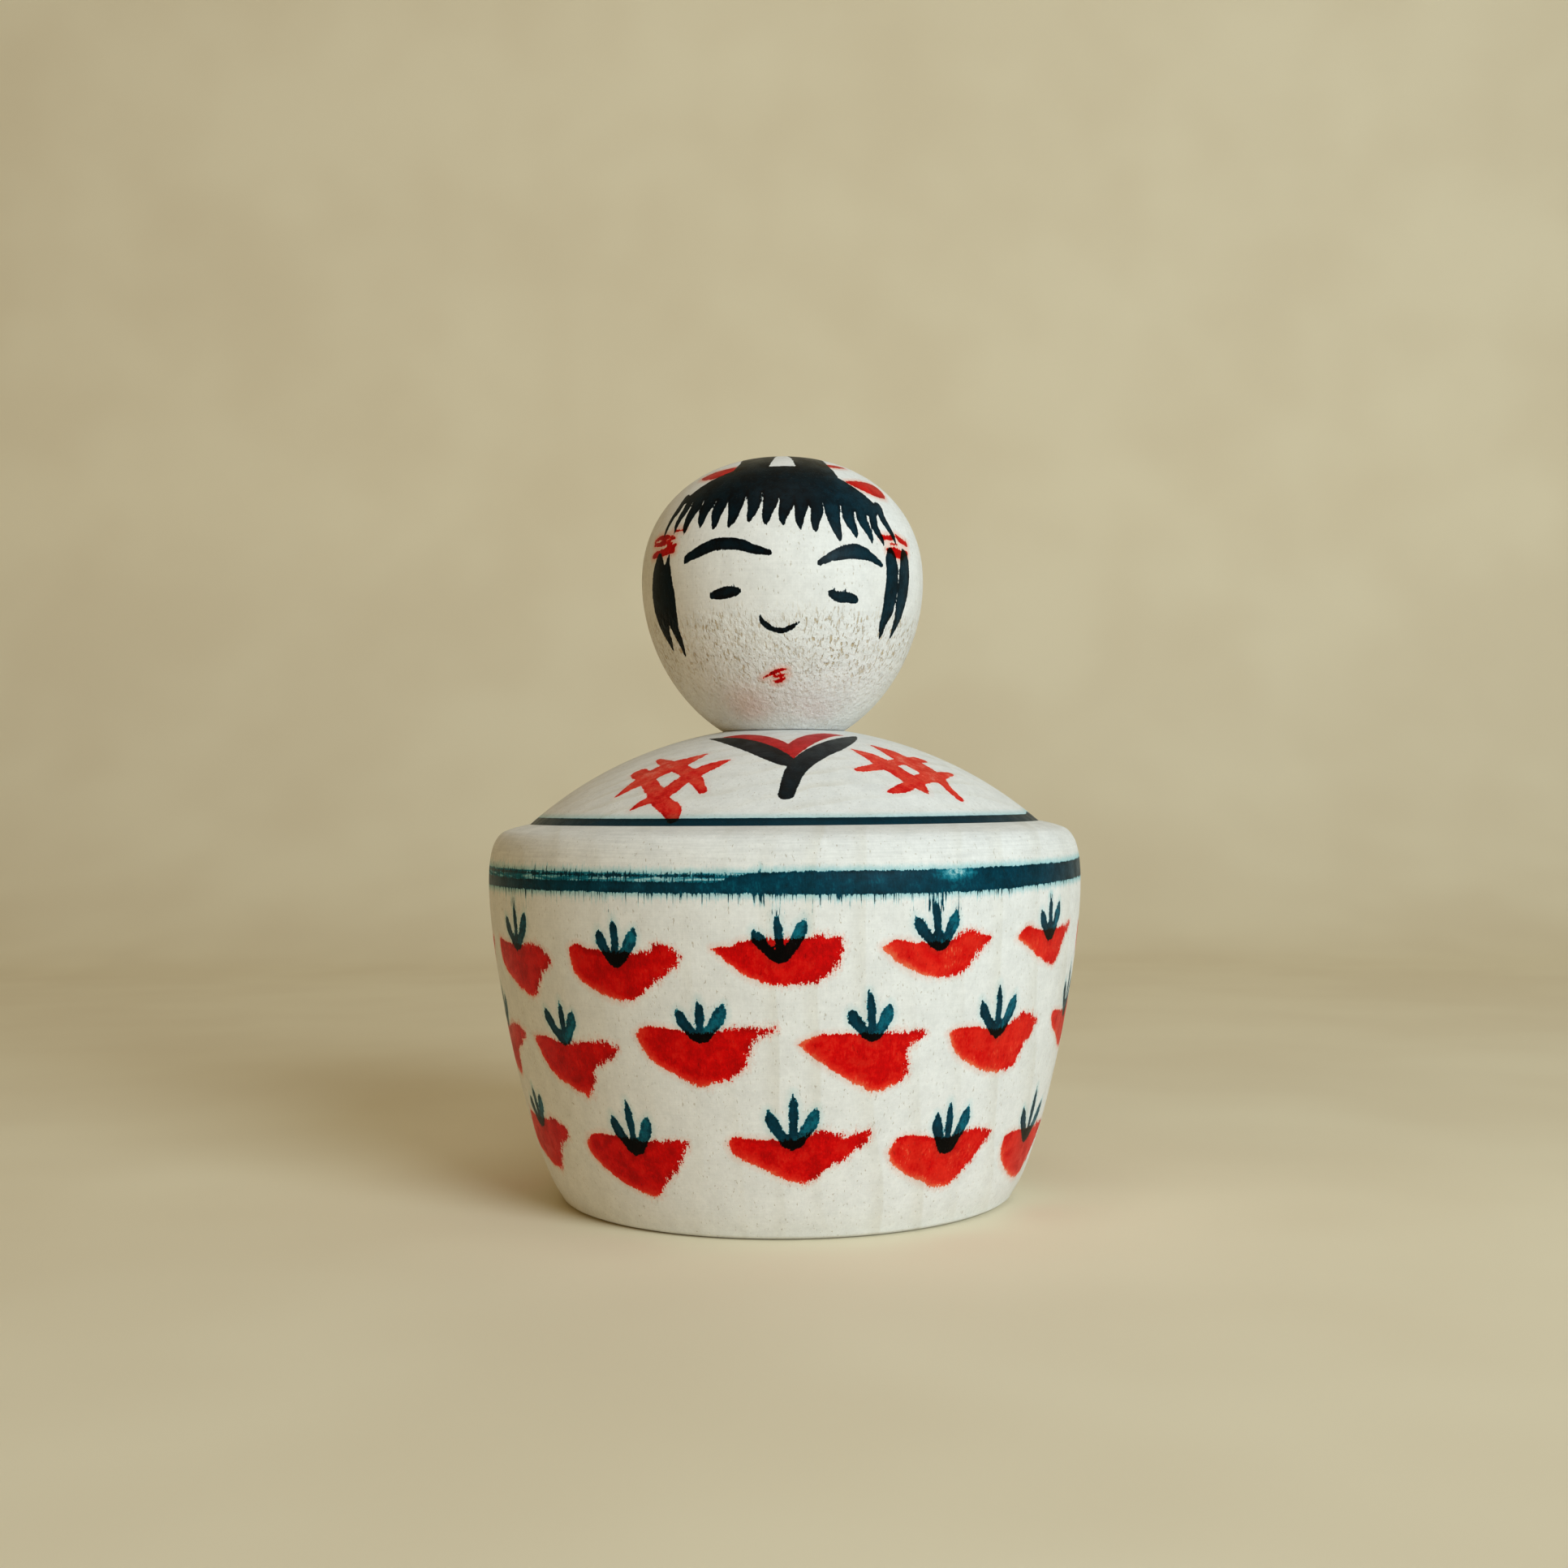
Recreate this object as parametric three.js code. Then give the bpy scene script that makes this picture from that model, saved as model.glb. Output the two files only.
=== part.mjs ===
// A lidded kokeshi doll of the "ejiko" kind: a child in a round cradle, turned from pale dogwood. It is
// three pieces of wood. The cradle is a hollow pot, the shoulders are its domed lid, and the head is a ball
// with a necked tenon that snaps into a blind socket in the lid, so that the head turns and stays on.
// Millimetres, +Z up. The origin is on the turning axis at the foot, and the face looks along -Y.
import * as THREE from "three";

// ---------------------------------------------------------------- driving dimensions
const TOTAL_HEIGHT = 80;
const AROUND = 64; // facets round the turning axis
const FILLET_STEPS = 4; // profile steps in the pot's floor fillet
const DISH_STEPS = 4; // and in the lid's dished underside
const DOME_STEPS = 8; // and in its dome
const SIDE_STEPS = 18; // profile steps up the pot's outside
const HEAD_STEPS = 11; // profile steps in each half of the head

// Cradle pot
const POT_RADIUS = 32; // at its widest, just under the shoulder
const SEAM_HEIGHT = 40.3; // where the pot's rim meets the edge of the lid
const FOOT_RADIUS = 24; // outer edge of the ring that it stands on
const FOOT_EDGE = 0.35; // eased edge of the foot
const FOOT_RING = 3.6; // width of that ring
const FOOT_HOLLOW = 0.6; // inside the ring the underside is turned this far up
const BORE_RADIUS = 24.6;
const FLOOR_HEIGHT = 6.5;
const FLOOR_FILLET = 4;

// Lid seat: the lid's flange drops into a rebate in the pot's mouth
const FLANGE_RADIUS = 27.55;
const SEAT_CLEARANCE = 0.1; // radial
const SEAT_HEIGHT = 38; // the ledge that the flange bears on
const SEAT_GAP = 0.05;
const FLANGE_BEVEL = 0.4;
const BEARING_RADIUS = 23.5; // inside this the lid's underside is dished
const DISH_DEPTH = 1;

// Shoulder dome
const DOME_RADIUS = 41.7; // of the sphere that the dome is cut from
const COLLAR_RADIUS = 6.9; // flat top that the head sits on

// Neck joint
const HEAD_GAP = 0.1; // between the head and the collar
const NECK_RADIUS = 4.8;
const NECK_CLEARANCE = 0.1; // radial, between neck and socket
const NECK_LENGTH = 8.6;
const NECK_STRAIGHT = 3; // plain length before the neck swells
const SWELL = 0.75; // how far the swollen end stands out beyond the neck
const SWELL_RISE = 1.4; // length over which it swells
const SWELL_WIDTH = 1.5; // length at its full size
const NECK_END_RADIUS = 4.5;
const NECK_END_BEVEL = 0.4;
const SOCKET_END_GAP = 0.4;
const LIP_BEVEL = 0.25;

// Head: two half superellipses that meet at its widest
const HEAD_RADIUS = 15.35;
const HEAD_UPPER = 13.65; // from the widest place to the crown
const HEAD_LOWER = 18.2; // full depth of the lower curve, which the flat under the head cuts short
const UPPER_FULLNESS = 2.15; // exponents: 2 is an ellipse, and more is squarer
const LOWER_FULLNESS = 1.9;

// ---------------------------------------------------------------- derived places
const domeDrop = (r) => DOME_RADIUS - Math.sqrt(DOME_RADIUS ** 2 - r ** 2);
const collarHeight = SEAM_HEIGHT + domeDrop(FLANGE_RADIUS) - domeDrop(COLLAR_RADIUS);
const headFloor = collarHeight + HEAD_GAP;
const headMiddle = TOTAL_HEIGHT - HEAD_UPPER;
const neckEnd = headFloor - NECK_LENGTH;
const swellStart = headFloor - NECK_STRAIGHT;
const swellFull = swellStart - SWELL_RISE;

// ---------------------------------------------------------------- helpers
// An arc about (x, z), from one angle to another, as profile points.
function arc(x, z, radius, from, to, steps) {
  return new THREE.EllipseCurve(x, z, radius, radius, from, to, to < from).getPoints(steps);
}

// Turns a profile of (radius, height) points round the axis. The profile runs from the axis to the axis.
function turned(name, profile, material) {
  const geometry = new THREE.LatheGeometry(profile, AROUND);
  geometry.rotateX(Math.PI / 2);
  const mesh = new THREE.Mesh(geometry, material);
  mesh.name = name;
  return mesh;
}

const wood = (color) => new THREE.MeshStandardMaterial({ color, roughness: 0.55, metalness: 0 });

// ---------------------------------------------------------------- cradle pot
// A hollow turning: a slightly hollow underside, sides that swell upwards, a rounded shoulder, a rim that
// slopes up to the lid, a rebate with a ledge for the lid, and a straight bore with a rounded floor.
function potProfile() {
  const mouth = FLANGE_RADIUS + SEAT_CLEARANCE;
  const outside = new THREE.SplineCurve([
    new THREE.Vector2(FOOT_RADIUS + FOOT_EDGE, FOOT_EDGE),
    new THREE.Vector2(25.9, 3.3),
    new THREE.Vector2(27.75, 8.8),
    new THREE.Vector2(29.6, 16.4),
    new THREE.Vector2(31, 24),
    new THREE.Vector2(31.8, 30.2),
    new THREE.Vector2(POT_RADIUS, 34.7),
    new THREE.Vector2(31.65, 37.6),
    new THREE.Vector2(30.8, 39.2),
    new THREE.Vector2(29.5, 39.85),
    new THREE.Vector2(mouth, SEAM_HEIGHT),
  ]);
  const filletX = BORE_RADIUS - FLOOR_FILLET;
  const filletZ = FLOOR_HEIGHT + FLOOR_FILLET;
  return [
    new THREE.Vector2(0, FOOT_HOLLOW),
    new THREE.Vector2(FOOT_RADIUS - FOOT_RING - FOOT_HOLLOW, FOOT_HOLLOW),
    new THREE.Vector2(FOOT_RADIUS - FOOT_RING, 0),
    new THREE.Vector2(FOOT_RADIUS, 0),
    ...outside.getPoints(SIDE_STEPS),
    new THREE.Vector2(mouth, SEAT_HEIGHT),
    new THREE.Vector2(BORE_RADIUS, SEAT_HEIGHT),
    ...arc(filletX, filletZ, FLOOR_FILLET, 0, -Math.PI / 2, FILLET_STEPS),
    new THREE.Vector2(0, FLOOR_HEIGHT),
  ];
}

// ---------------------------------------------------------------- shoulder lid
// A domed disc. Its flange drops into the pot's rebate and its underside is dished, so that only the rim
// bears. The blind socket in its flat collar narrows at the mouth, which holds the swollen neck.
function lidProfile() {
  const bearing = SEAT_HEIGHT + SEAT_GAP;
  const dishTop = bearing + DISH_DEPTH;
  const dishRadius = (BEARING_RADIUS ** 2 + DISH_DEPTH ** 2) / (2 * DISH_DEPTH);
  const dishEdge = Math.acos(BEARING_RADIUS / dishRadius);
  const dish = arc(0, dishTop - dishRadius, dishRadius, Math.PI / 2, dishEdge, DISH_STEPS);
  dish[0].x = 0;
  const domeCentre = collarHeight + domeDrop(COLLAR_RADIUS) - DOME_RADIUS;
  const rimAngle = Math.acos(FLANGE_RADIUS / DOME_RADIUS);
  const collarAngle = Math.acos(COLLAR_RADIUS / DOME_RADIUS);
  const socket = NECK_RADIUS + NECK_CLEARANCE;
  const socketFloor = neckEnd - SOCKET_END_GAP;
  return [
    ...dish,
    new THREE.Vector2(FLANGE_RADIUS - FLANGE_BEVEL, bearing),
    new THREE.Vector2(FLANGE_RADIUS, bearing + FLANGE_BEVEL),
    ...arc(0, domeCentre, DOME_RADIUS, rimAngle, collarAngle, DOME_STEPS),
    new THREE.Vector2(socket + LIP_BEVEL, collarHeight),
    new THREE.Vector2(socket, collarHeight - LIP_BEVEL),
    new THREE.Vector2(socket, swellStart + NECK_CLEARANCE),
    new THREE.Vector2(socket + SWELL, swellFull + NECK_CLEARANCE),
    new THREE.Vector2(socket + SWELL, socketFloor),
    new THREE.Vector2(0, socketFloor),
  ];
}

// ---------------------------------------------------------------- head
// The ball and its neck are one turning. The neck is plain where the socket's lip holds it, swells below
// the lip, and tapers to its end so that it can be driven in.
function headProfile() {
  const halfCurve = (height, fullness, from, to) => {
    const points = [];
    for (let step = 0; step <= HEAD_STEPS; step++) {
      const t = from + ((to - from) * step) / HEAD_STEPS;
      const r = HEAD_RADIUS * Math.cos(t) ** (2 / fullness);
      const z = headMiddle + height * Math.sin(t) ** (2 / fullness);
      points.push(new THREE.Vector2(r, z));
    }
    return points;
  };
  const flatAngle = Math.asin(((headMiddle - headFloor) / HEAD_LOWER) ** (LOWER_FULLNESS / 2));
  const lower = halfCurve(-HEAD_LOWER, LOWER_FULLNESS, flatAngle, 0);
  const upper = halfCurve(HEAD_UPPER, UPPER_FULLNESS, 0, Math.PI / 2);
  const crown = upper[HEAD_STEPS];
  crown.x = 0;
  return [
    new THREE.Vector2(0, neckEnd),
    new THREE.Vector2(NECK_END_RADIUS - NECK_END_BEVEL, neckEnd),
    new THREE.Vector2(NECK_END_RADIUS, neckEnd + NECK_END_BEVEL),
    new THREE.Vector2(NECK_RADIUS + SWELL, swellFull - SWELL_WIDTH),
    new THREE.Vector2(NECK_RADIUS + SWELL, swellFull),
    new THREE.Vector2(NECK_RADIUS, swellStart),
    new THREE.Vector2(NECK_RADIUS, headFloor),
    ...lower,
    ...upper.slice(1),
  ];
}

// ---------------------------------------------------------------- assembly
const kokeshi = new THREE.Group();
kokeshi.add(
  turned("cradle_pot", potProfile(), wood(0xe6dfcb)),
  turned("shoulder_lid", lidProfile(), wood(0xdcd8cc)),
  turned("doll_head", headProfile(), wood(0xe9e2d2)),
);

export default kokeshi;
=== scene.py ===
# A lidded kokeshi doll of the "ejiko" kind: a child in a round cradle. Three turnings of pale dogwood,
# brushed with red, blue-green and black dye while they spin or stand still, and rubbed with wax.
# Sizes are in millimetres until a mesh is finished, +Z is up, and the face looks along -Y.
import math

import bmesh
import bpy
import numpy as np
from mathutils import Matrix, Vector


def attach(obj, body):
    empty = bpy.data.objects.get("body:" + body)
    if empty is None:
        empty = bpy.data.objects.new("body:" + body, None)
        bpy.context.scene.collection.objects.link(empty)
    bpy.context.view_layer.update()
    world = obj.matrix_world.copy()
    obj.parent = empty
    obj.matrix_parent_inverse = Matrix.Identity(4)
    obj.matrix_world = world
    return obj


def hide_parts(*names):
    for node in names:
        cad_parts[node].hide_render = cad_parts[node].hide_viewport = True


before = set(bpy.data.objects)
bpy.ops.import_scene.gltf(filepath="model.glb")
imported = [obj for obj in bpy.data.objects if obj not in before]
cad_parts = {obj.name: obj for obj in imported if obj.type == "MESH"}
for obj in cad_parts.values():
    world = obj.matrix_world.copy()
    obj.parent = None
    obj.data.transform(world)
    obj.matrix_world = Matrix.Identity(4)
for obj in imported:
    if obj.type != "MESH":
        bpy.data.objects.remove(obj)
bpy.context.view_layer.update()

# ---------------------------------------------------------------- camera
# A small camera held level with the doll's shoulders, about 21 cm from its axis, and turned a fraction of
# a degree clockwise.
MM = 0.001
CAMERA_PLACE = (0, -213.1, 43.1)
CAMERA_LENS = 44.7  # on a 36 mm wide sensor
CAMERA_PITCH = 0.36  # degrees above level
CAMERA_ROLL = -0.45  # degrees

camera = bpy.data.objects.new("camera", bpy.data.cameras.new("camera"))
camera.data.sensor_width = 36
camera.data.lens = CAMERA_LENS
camera.data.clip_start = 0.01
pitch = Matrix.Rotation(math.radians(90 + CAMERA_PITCH), 4, "X")
roll = Matrix.Rotation(math.radians(CAMERA_ROLL), 4, "Z")
camera.matrix_world = Matrix.Translation([value * MM for value in CAMERA_PLACE]) @ pitch @ roll
bpy.context.scene.collection.objects.link(camera)
bpy.context.scene.camera = camera

# ---------------------------------------------------------------- cradle pot
# The body of the doll is a hollow pot, turned from one billet with the grain upright: a foot ring, sides
# that swell to a rounded shoulder, a rim that slopes up to the lid, and a rebate with a ledge inside it.
POT_SIDE = [  # (radius, height) up the outside, from the foot's worn edge to the mouth
    (24.48, 0.6),
    (25.9, 3.3),
    (27.75, 8.8),
    (29.6, 16.4),
    (31, 24),
    (31.8, 30.2),
    (32, 34.7),
    (31.65, 37.6),
    (30.8, 39.2),
    (29.5, 39.85),
    (27.65, 40.3),
]
POT_AROUND = 620  # steps round the axis, so that a dye edge is never coarser than a third of a millimetre
POT_SPACING = 0.34  # of the rings up the side
FOOT_INNER = 20.4  # inner edge of the ring that the doll stands on
FOOT_EASE = [(23.2, 0), (23.75, 0.1), (24.15, 0.26), (24.4, 0.45)]  # the ring's worn outer edge
FOOT_HOLLOW = 0.6  # inside the ring the underside is turned this far up
SEAM_HEIGHT = 40.3
MOUTH_RADIUS = 27.65
SEAT_HEIGHT = 38
BORE_RADIUS = 24.6
FLOOR_HEIGHT = 6.5
FLOOR_FILLET = 4
FLAT_RING = 10  # radius of a ring that keeps the faces of a flat floor even
FILLET_STEPS = 8
WELD_GAP = 0.0005
CORNER_ANGLE = 28  # degrees: a sharper turn than this shows as an edge
TURNING_PARTS = 10  # a tenth of a turning is spun, then repeated and welded


def flowing(points, steps=24):
    """A smooth line through points of any dimension, with so many steps between each two."""
    points = np.array(points, float)
    last = len(points) - 1
    line = []
    for k in range(last):
        before, start, end, after = points[[max(k - 1, 0), k, k + 1, min(k + 2, last)]]
        for t in np.arange(steps) / steps:
            bend = (2 * before - 5 * start + 4 * end - after) * t * t
            bend += (3 * start - before - 3 * end + after) * t**3
            line.append(start + (bend + (end - before) * t) / 2)
    line.append(points[last])
    return np.array(line)


def evenly(line, spacing):
    """The same line, with its points an even distance apart."""
    run = np.concatenate([[0], np.cumsum(np.linalg.norm(np.diff(line, axis=0), axis=1))])
    places = np.linspace(0, run[-1], max(round(run[-1] / spacing), 1) + 1)
    return np.stack([np.interp(places, run, column) for column in line.T], axis=1)


def arc(x, z, radius, start, end, steps):
    """An arc about (x, z) from one angle to another, in degrees, as profile points."""
    angles = np.radians(np.linspace(start, end, steps + 1))
    return np.stack([x + radius * np.cos(angles), z + radius * np.sin(angles)], axis=1)


def turned(name, profile, around):
    """Spins a profile of (radius, height) points round the axis, as a lathe does."""
    bm = bmesh.new()
    chain = [bm.verts.new((radius, 0, height)) for radius, height in profile]
    edges = [bm.edges.new(pair) for pair in zip(chain, chain[1:])]
    lathe = {"cent": (0, 0, 0), "axis": (0, 0, 1)}
    part = math.tau / TURNING_PARTS
    bmesh.ops.spin(bm, geom=chain + edges, angle=part, steps=around // TURNING_PARTS, **lathe)
    whole = bm.verts[:] + bm.edges[:] + bm.faces[:]
    rest = {"angle": math.tau - part, "steps": TURNING_PARTS - 1, "use_duplicate": True}
    bmesh.ops.spin(bm, geom=whole, **rest, **lathe)
    bmesh.ops.remove_doubles(bm, verts=bm.verts[:], dist=WELD_GAP)
    bmesh.ops.recalc_face_normals(bm, faces=bm.faces[:])
    for face in bm.faces:
        face.smooth = True
    for edge in bm.edges:
        edge.smooth = edge.calc_face_angle(0) < math.radians(CORNER_ANGLE)
    bmesh.ops.scale(bm, vec=(MM, MM, MM), verts=bm.verts[:])
    mesh = bpy.data.meshes.new(name)
    bm.to_mesh(mesh)
    bm.free()
    piece = bpy.data.objects.new(name, mesh)
    bpy.context.scene.collection.objects.link(piece)
    return piece


pot_side = evenly(flowing(POT_SIDE), POT_SPACING)
pot_profile = [
    (0, FOOT_HOLLOW),
    (FLAT_RING, FOOT_HOLLOW),
    (FOOT_INNER - FOOT_HOLLOW, FOOT_HOLLOW),
    (FOOT_INNER, 0),
    *FOOT_EASE,
    *pot_side,
    (MOUTH_RADIUS, SEAT_HEIGHT),
    (BORE_RADIUS, SEAT_HEIGHT),
    *arc(BORE_RADIUS - FLOOR_FILLET, FLOOR_HEIGHT + FLOOR_FILLET, FLOOR_FILLET, 0, -90, FILLET_STEPS),
    (FLAT_RING, FLOOR_HEIGHT),
    (0, FLOOR_HEIGHT),
]
pot = turned("dyed_cradle_pot", pot_profile, POT_AROUND)

# -------- The pot's brushwork
# Three rows of half-moon flowers, each with three blue-green leaves, are brushed round the standing pot.
# The blue-green band under the shoulder is laid on while the pot turns. Dye creeps along the grain.
FLOWERS = [  # degrees round and height of the leaves' root, then outline and leaf tips, across and up from it
    (
        (-59, 27.8),
        [(-5.5, 1), (-1.5, 0.5), (4, 0.8), (6.5, -0.8), (4.5, -2), (3.5, -3.5), (1.5, -4.5), (-5, -1.8)],
        [(-2.4, 3.5), (0, 4.7), (2.4, 4)],
    ),
    (
        (-31, 27),
        [
            (-6, 1.5), (-4.8, 2), (-3, 1.5), (3.3, 1.4), (4.3, 2), (6, 2), (6.8, 0.6), (5.2, -0.7),
            (2.8, -2.5), (0.8, -3.4), (-2.4, -2.7), (-5.3, -1),
        ],
        [(-2, 3.6), (-0.1, 4.7), (2.3, 3.8)],
    ),
    (
        (-1, 27.6),
        [
            (-6.4, 1.3), (-4.5, 1.6), (-2.8, 2.1), (4.5, 2.4), (5.8, 2), (5.8, 0.4), (4.3, -1.5),
            (1, -2.1), (-2, -1.8), (-4.3, -0.5),
        ],
        [(-2.5, 3.2), (-0.3, 4.7), (2.4, 4.3)],
    ),
    (
        (27.5, 28.4),
        [
            (-6, 0.5), (-4.5, 1.1), (-2.4, 0.8), (1.4, 0.9), (3, 1.7), (5, 1.3), (6.4, 0.8),
            (4.9, -0.3), (3, -2.2), (1, -2.6), (-1.8, -2.3), (-4.5, -0.9),
        ],
        [(-2.7, 3.4), (-0.7, 5.1), (1.9, 3.8)],
    ),
    (
        (57, 28.5),
        [
            (-6.2, 0.5), (-4.6, 1.6), (-2, 1.1), (2.6, 1.1), (5.7, 1.4), (4.2, 0), (2.4, -2.2),
            (1, -2.6), (-2.3, -1.5), (-4.6, -0.2),
        ],
        [(-2, 3.1), (-0.2, 4.4), (2, 3.8)],
    ),
    (
        (-46.5, 18.8),
        [
            (-5.9, 0.3), (-3.2, 0.5), (0.3, 0.1), (3.9, 0.6), (6.2, 0.6), (7.3, 0), (5.6, -1.3),
            (4, -2), (3.3, -3.7), (2.5, -5), (0, -4.4), (-3.4, -2.9),
        ],
        [(-2.7, 3.6), (0.1, 4.5), (1.9, 3.5)],
    ),
    (
        (-15.5, 19.9),
        [
            (-6.8, 0.6), (-5.5, 1.4), (-2.7, 1.2), (0, 0.9), (3, 1.4), (7.4, 1.3), (5, 0.3), (4.7, -1),
            (4.2, -2.3), (2, -3.7), (-0.4, -4.2), (-2.8, -3.2), (-5.4, -1.7),
        ],
        [(-2.2, 3.2), (0, 4.2), (2.5, 3.8)],
    ),
    (
        (15.5, 20),
        [
            (-7, -0.2), (-5.9, 0.4), (-4.3, 0.7), (2, 0.7), (5.5, 0.5), (4, -0.8), (3.6, -1.6),
            (3.8, -3.6), (2.3, -4.4), (0.4, -5), (-2.7, -3.4), (-5.2, -1.8),
        ],
        [(-2.3, 3.1), (-0.5, 4.9), (1.7, 3.5)],
    ),
    (
        (43, 19.4),
        [
            (-6.4, 0.8), (-5.5, 1.2), (-2.9, 1.2), (0, 0.7), (2.6, 1.4), (4.5, 2), (7, 0.8),
            (4.8, -1.4), (3.6, -3.2), (0.4, -3.6), (-2.6, -2.8), (-5.2, -1.2),
        ],
        [(-2.7, 3.9), (-0.4, 5.3), (2.3, 4.2)],
    ),
    (
        (-65, 9.3),
        [
            (-3.8, 1.1), (1.8, 0.9), (3.9, 1.4), (6.2, 0.5), (5.9, -0.6), (4.1, -1.5), (2.8, -3.5),
            (1.7, -4.3), (-2, -3.5), (-4.9, -2),
        ],
        [(-1.8, 3), (0, 4.4), (1.8, 3.6)],
    ),
    (
        (-32, 8.4),
        [
            (-6.7, 0.3), (-6, 1.2), (-4.4, 1.7), (-2.1, 1.6), (2, 1.4), (5.8, 1.7), (4.7, -0.6),
            (3.2, -2.3), (2.4, -3.3), (1.1, -4.3), (-2.3, -3.2), (-5.7, -1.2),
        ],
        [(-2.4, 3.9), (-0.3, 5.5), (2, 4)],
    ),
    (
        (1, 9.6),
        [
            (-6.2, 0.4), (-5.4, 1.1), (-3.5, 0.9), (0, 0.9), (2.8, 1.7), (5, 1.1), (7, 1.6), (7.7, 1.1),
            (5.4, -0.9), (3.2, -2.1), (1.5, -3.4), (-0.5, -3.2), (-3, -1.9), (-5.4, -0.8),
        ],
        [(-2.3, 3.9), (0.1, 5.6), (2.4, 4.1)],
    ),
    (
        (34, 8.2),
        [
            (-6.6, 0.7), (-5.5, 2.1), (-3.3, 2), (0, 1.5), (2.6, 2.1), (6, 1.5), (4.9, 0.1),
            (2.6, -2.4), (0.3, -3.6), (-2.3, -2.7), (-5.5, -1),
        ],
        [(-1.7, 4.2), (-0.3, 5.3), (2.2, 4.7)],
    ),
    (
        (63.5, 7.4),
        [
            (-5.6, 0.2), (-5.2, 1.4), (-2.5, 1.6), (1.9, 1.3), (6.8, 1.1), (4.1, -1.6), (1.9, -3.8),
            (-0.6, -3.7), (-4.4, -1.6),
        ],
        [(-2.7, 4), (-0.1, 5.8), (3, 4)],
    ),
]
FLOWERS_BEHIND = [  # height of the leaves' root, and the angles of the flowers that carry each row round
    (27.8, (86, 113, 140, 167, 194, 221, 248, 275)),
    (19.4, (75.5, 105, 135, 165, 194, 224, 254, 284)),
    (8.4, (96.5, 129.5, 163, 196, 229, 262)),
]
LEAF_WIDTHS = (1.2, 0.92, 1.35)  # of the left, middle and right leaf
LEAF_ROOTS = ((-0.5, 0.65), (0, 0.4), (0.5, 0.65))
LEAF_PALENESS = (0.02, 0.06, 0.22)
LEAF_BOW = 0.07  # how far an outer leaf bends outwards, as a share of its length
MIDDLE_LEAF_BOW = 0.02
FLOWER_REACH = (11, 8.5)  # no flower reaches farther than this across or up from its root
THIN_RED_ANGLE = 38  # about here the reds are made thinner
RED_THINNING = 0.18
THIN_CORNER = 0.62  # how much dye the lower left of a petal lacks
BARE_WOOD = 0.15  # paleness where no leaf is
BAND_FLOOR = 34.05
BAND_TOP = 35.95
BAND_ZONE = 32  # the band's dye is worked out only above this height
BRUSH_DOWN = -6  # degrees: left of here the band is streaked, where the brush ran dry
UPPER_LINE = 35.75  # height of the fine line over the streaks
UPPER_LINE_HALF = 0.16
WASH_FLOOR = 34.6
BAND_BLOT = [  # degrees, height and half width where the brush was set down
    (-4, 33.5, 0.05),
    (-4, 34.4, 0.3),
    (-3.9, 35.6, 0.35),
    (-4, 36.3, 0.1),
]
DEPTH_LIMIT = 3  # how far a dye's depth is kept, in mm, inside or outside its edge
FAR_OUTSIDE = -9  # a depth past that limit, for wood with no dye near
SPREAD_SEED = 7
WAVER_SEED = 3
STROKE_REACH = 4  # points farther than this from a stroke are not measured


def skin_of(piece):
    """The places of a piece's points, in mm."""
    mesh = piece.data
    places = np.empty(len(mesh.vertices) * 3)
    mesh.vertices.foreach_get("co", places)
    return places.reshape(-1, 3) / MM


def keep(piece, name, depth):
    """Stores how far inside a dye's edge each point lies, for the finish to read."""
    layer = piece.data.attributes.new(name, "FLOAT", "POINT")
    layer.data.foreach_set("value", np.clip(depth, -DEPTH_LIMIT, DEPTH_LIMIT).astype(np.float32))


def brushed(skin, stroke):
    """How far each point lies inside a stroke. A stroke's points end with the brush's half width."""
    depth = np.full(len(skin), -99.0)
    line = np.array(stroke, float)
    low, high = line[:, :-1].min(0) - STROKE_REACH, line[:, :-1].max(0) + STROKE_REACH
    near = ((skin > low) & (skin < high)).all(axis=1)
    close = skin[near]
    nearest = np.full(len(close), -99.0)
    for start, end in zip(line, line[1:]):
        along = end[:-1] - start[:-1]
        t = np.clip((close - start[:-1]) @ along / max(along @ along, 1e-9), 0, 1)
        gap = np.linalg.norm(close - start[:-1] - t[:, None] * along, axis=1)
        nearest = np.maximum(nearest, start[-1] + (end[-1] - start[-1]) * t - gap)
    depth[near] = nearest
    return depth


def filled(skin, outline):
    """How far each point of a flat skin lies inside a closed outline."""
    outline = np.array(outline, float)
    gap = np.full(len(skin), 99.0)
    within = np.zeros(len(skin), bool)
    for start, end in zip(outline, np.roll(outline, -1, axis=0)):
        along = end - start
        t = np.clip((skin - start) @ along / (along @ along), 0, 1)
        gap = np.minimum(gap, np.linalg.norm(skin - start - t[:, None] * along, axis=1))
        rise = along[1] if abs(along[1]) > 1e-6 else 1e-6
        crossing = start[0] + (skin[:, 1] - start[1]) * along[0] / rise
        within ^= ((start[1] > skin[:, 1]) != (end[1] > skin[:, 1])) & (skin[:, 0] < crossing)
    return np.where(within, gap, -gap)


def leaf(tip, root, width):
    """A leaf: a stroke that is widest past its middle and ends in a point."""
    root = np.array(root)
    reach = np.array(tip) - root
    side = -LEAF_BOW if tip[0] < -1 else LEAF_BOW if tip[0] > 1 else MIDDLE_LEAF_BOW
    bow = np.array([reach[1], -reach[0]]) * side
    places = [(-0.05, 0.36), (0, 0.44), (0.3, 0.4), (0.55, 0.48), (0.72, 0.44), (0.88, 0.2), (1, 0.02)]
    line = [(*(root + reach * t + bow * math.sin(t * math.pi)), half * width) for t, half in places]
    return flowing(line, 3)


def slow_waver(angles, seed, waves):
    """A hand's slow waver round the turning, between about -1 and 1."""
    dice = np.random.default_rng(seed)
    sway = np.zeros(len(angles))
    for wave in waves:
        sway += dice.uniform(0.5, 1) * np.sin(angles * wave + dice.uniform(0, math.tau))
    return sway / len(waves)


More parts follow.
